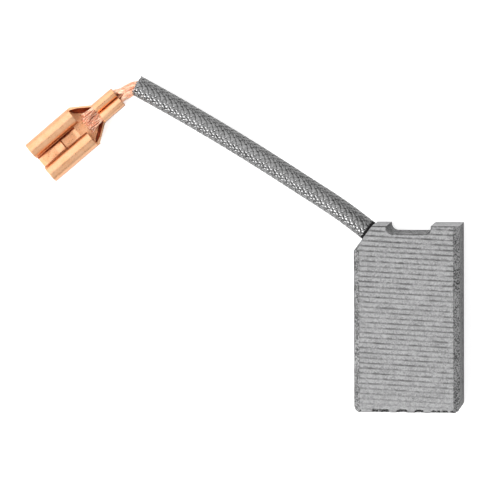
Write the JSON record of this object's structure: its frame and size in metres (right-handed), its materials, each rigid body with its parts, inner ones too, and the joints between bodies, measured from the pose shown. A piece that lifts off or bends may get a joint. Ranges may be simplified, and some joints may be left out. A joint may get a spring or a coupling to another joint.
{
  "type": "carbon brush",
  "caption": "Rectangular carbon motor brush with a notched spring end, a copper lead in a braided sleeve leaving a cut corner, and a push-on blade receptacle crimped to its end.",
  "frame": {"origin": "centre of the carbon block's back face, on which the brush lies", "axes": "+Y along the block from the wear end to the spring end, +Z through its thickness out of the bevelled front face, +X across its width, away from the cut corner that the lead leaves"},
  "size_m": [0.0523, 0.0392, 0.0063],
  "materials": {
    "carbon": "sawn carbon, matt with a faint graphite sheen, fine saw lines on the front face and grainy bevels",
    "contact_powder": "dark tamped contact powder, matt",
    "sleeve": "dark grey braided glass fibre with a slight gloss on its threads",
    "copper_strand": "fine bare copper wires in twisted bunches, pinkish and bright",
    "copper_sheet": "rolled copper sheet, orange and half bright, with faint scratches along the rolls"
  },
  "bodies": {
    "root": {"carbon_block": "carbon", "lead_packing": "contact_powder", "braided_sleeve": "sleeve", "terminal": "copper_sheet", "strand_1": "copper_strand", "strand_2": "copper_strand", "strand_3": "copper_strand", "strand_4": "copper_strand", "strand_5": "copper_strand", "strand_6": "copper_strand", "strand_7": "copper_strand"}
  },
  "joints": []
}
